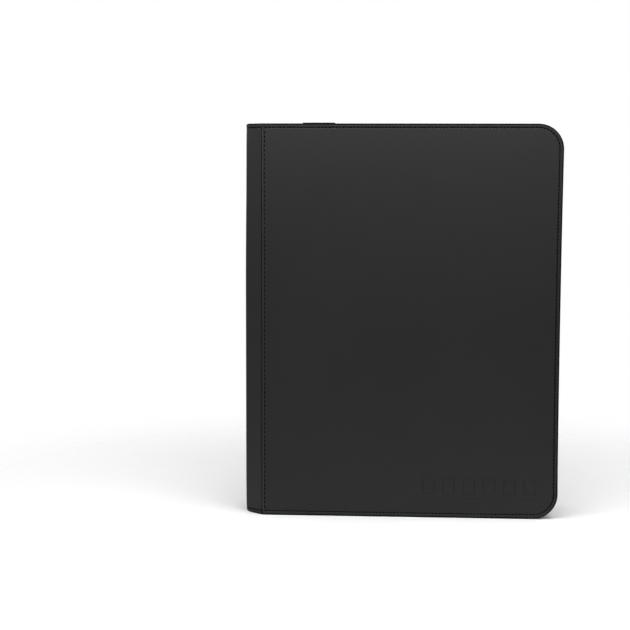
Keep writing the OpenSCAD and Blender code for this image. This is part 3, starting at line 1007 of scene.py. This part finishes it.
def leaf_mesh(y, low, high):
    """Centre sheet, weld ribs and pocket films of one leaf, with a material number for each face."""
    shapes = []
    left, right = low.x + HINGE_LAND, high.x
    column_w = (right - left) / POCKET_COLUMNS
    row_h = (high.z - low.z) / POCKET_ROWS
    shapes.append((box_shape((low.x, y - SHEET_T / 2, low.z), (right, y + SHEET_T / 2, high.z)), 0))
    for row in range(POCKET_ROWS + 1):
        z = min(max(low.z + row * row_h, low.z + WELD / 2), high.z - WELD / 2)
        rib = box_shape((left, y - RIB_HALF, z - WELD / 2), (right, y + RIB_HALF, z + WELD / 2))
        shapes.append((rib, 0))
    for column in range(POCKET_COLUMNS + 1):
        x = min(max(left + column * column_w, left + WELD / 2), right - WELD / 2)
        rib = box_shape((x - WELD / 2, y - RIB_HALF, low.z), (x + WELD / 2, y + RIB_HALF, high.z))
        shapes.append((rib, 0))
    for column in range(POCKET_COLUMNS):
        for row in range(POCKET_ROWS):
            x0, z0 = left + column * column_w, low.z + row * row_h
            for face in (-1, 1):
                pocket = film_pocket((x0 + WELD + MOUTH, z0 + WELD / 2),
                                     (x0 + column_w - WELD / 2, z0 + row_h - WELD / 2), y, face)
                shapes.append((pocket, 1))
    points, faces, numbers, shift = [], [], [], 0
    for (made, quads), number in shapes:
        points.append(made)
        faces += [tuple(i + shift for i in quad) for quad in quads]
        numbers += [number] * len(quads)
        shift += len(made)
    return np.concatenate(points), faces, numbers


def leaves():
    names = sorted(n for n in NODES if n.startswith("leaf_") and n[5:].isdigit())
    for name in names:
        low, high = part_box(name)
        points, faces, numbers = leaf_mesh((low.y + high.y) / 2, low, high)
        piece = build_piece(f"{name}_pockets", points, faces, ["leaf_sheet", "pocket_film"],
                            smooth=True, face_materials=numbers)
        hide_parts(name)
        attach(piece, name)


# ---------------------------------------------------------------- CAD nodes that show as they are
def dress_cad_nodes():
    """Material by the record's slot, and softened edges."""
    slots = {part["node"]: part["material_slot"] for part in frame["record"]["subparts"]}
    for name, node in NODES.items():
        node.data.materials.clear()
        node.data.materials.append(MATERIALS[slots[name]])
        soften = node.modifiers.new("soft_edges", "BEVEL")
        soften.width = 0.25 * MM if slots[name] in ("leatherette", "black_metal") else 0.12 * MM
        soften.segments = 2
        soften.limit_method = "ANGLE"


# ---------------------------------------------------------------- camera, floor and light
CAMERA_PLACE = (3.8 * MM, -1388.6 * MM, 325.8 * MM)
CAMERA_DOWN = 5.843
CAMERA_LEFT = 3.487
CAMERA_ROLL = 0.14
CAMERA_LENS = 85.71
FRONT_GLOW = 0.06
BACK_GLOW = 0.6
FLOOR_WHITE = 0.90
FLOOR_BOUNCE = 0.74
FLOOR_CLEAR = 0.18
FLOOR_FADE = 0.6


def camera():
    data = bpy.data.cameras.new("camera")
    data.lens, data.sensor_width = CAMERA_LENS, 36
    eye = bpy.data.objects.new("camera", data)
    turn = (Matrix.Rotation(math.radians(CAMERA_LEFT), 3, "Z")
            @ Matrix.Rotation(math.radians(90 - CAMERA_DOWN), 3, "X")
            @ Matrix.Rotation(math.radians(CAMERA_ROLL), 3, "Z"))
    eye.matrix_world = Matrix.Translation(CAMERA_PLACE) @ turn.to_4x4()
    bpy.context.scene.collection.objects.link(eye)
    bpy.context.scene.camera = eye


def floor():
    """A wide pale disc, white to the eye and a little dimmer as light on the binder's foot."""
    count, radius = 96, 7.0
    turn = np.linspace(0, 2 * math.pi, count, endpoint=False)
    ring = np.column_stack([radius * np.cos(turn), radius * np.sin(turn), np.full(count, -0.02 * MM)])
    mesh = bpy.data.meshes.new("floor")
    mesh.from_pydata([tuple(p) for p in ring], [], [tuple(range(count))])
    disc = bpy.data.objects.new("floor", mesh)
    material, tree, shader = new_material("floor")
    seen = tree.nodes.new("ShaderNodeLightPath").outputs["Is Camera Ray"]
    white = tree.nodes.new("ShaderNodeMapRange")
    white.inputs["To Min"].default_value = FLOOR_BOUNCE
    white.inputs["To Max"].default_value = FLOOR_WHITE
    tree.links.new(seen, white.inputs["Value"])
    tree.links.new(white.outputs["Result"], shader.inputs["Base Color"])
    shader.inputs["Roughness"].default_value = 0.7
    shader.inputs["Specular IOR Level"].default_value = 0.1
    reach = tree.nodes.new("ShaderNodeVectorMath")
    reach.operation = "LENGTH"
    tree.links.new(object_coordinates(tree), reach.inputs[0])
    fade = tree.nodes.new("ShaderNodeMapRange")
    fade.interpolation_type = "SMOOTHSTEP"
    fade.inputs["From Min"].default_value = FLOOR_CLEAR
    fade.inputs["From Max"].default_value = FLOOR_FADE
    fade.inputs["To Min"].default_value = 1
    fade.inputs["To Max"].default_value = 0
    tree.links.new(reach.outputs["Value"], fade.inputs["Value"])
    tree.links.new(fade.outputs["Result"], shader.inputs["Alpha"])
    mesh.materials.append(material)
    bpy.context.scene.collection.objects.link(disc)


def area_light(name, place, target, size, power):
    data = bpy.data.lights.new(name, "AREA")
    data.shape, data.size, data.size_y, data.energy = "RECTANGLE", *size, power
    lamp = bpy.data.objects.new(name, data)
    lamp.location = place
    lamp.visible_camera = False
    lamp.rotation_euler = (Vector(target) - Vector(place)).to_track_quat("-Z", "Y").to_euler()
    bpy.context.scene.collection.objects.link(lamp)


def studio_world():
    """White to the eye; as light, bright above and behind the binder and dim in front of it."""
    world = bpy.data.worlds.new("studio")
    world.use_nodes = True
    tree = world.node_tree
    background = tree.nodes["Background"]
    background.inputs["Color"].default_value = (1, 1, 1, 1)
    direction = tree.nodes.new("ShaderNodeTexCoord").outputs["Generated"]
    parts = tree.nodes.new("ShaderNodeSeparateXYZ")
    tree.links.new(direction, parts.inputs["Vector"])
    depth = tree.nodes.new("ShaderNodeMapRange")
    depth.inputs["From Min"].default_value = -0.3
    depth.inputs["From Max"].default_value = 0.3
    depth.inputs["To Min"].default_value = FRONT_GLOW
    depth.inputs["To Max"].default_value = BACK_GLOW
    tree.links.new(parts.outputs["Y"], depth.inputs["Value"])
    seen = tree.nodes.new("ShaderNodeLightPath").outputs["Is Camera Ray"]
    strength = maths(tree, "MAXIMUM", depth.outputs["Result"], seen)
    tree.links.new(strength, background.inputs["Strength"])
    bpy.context.scene.world = world


def lights():
    middle = (0, 0, HEIGHT / 2)
    area_light("top", (0.0, -0.35, 1.3), middle, (1.4, 0.9), 11.5)
    area_light("left", (-1.5, 0.3, 0.8), middle, (0.8, 1.2), 0.8)
    area_light("front", (0.0, -0.28, 0.60), (0, 0, 0.85 * HEIGHT), (1.2, 0.15), 3.3)
    area_light("right", (1.5, 0.0, 0.9), middle, (0.8, 1.2), 4)


camera()
floor()
studio_world()
lights()
cover_panels()
plates()
creases()
stitching()
pressed_mark()
zip_coils()
wall_stitches()
leaves()
dress_cad_nodes()
bpy.context.scene.view_settings.view_transform = "Standard"
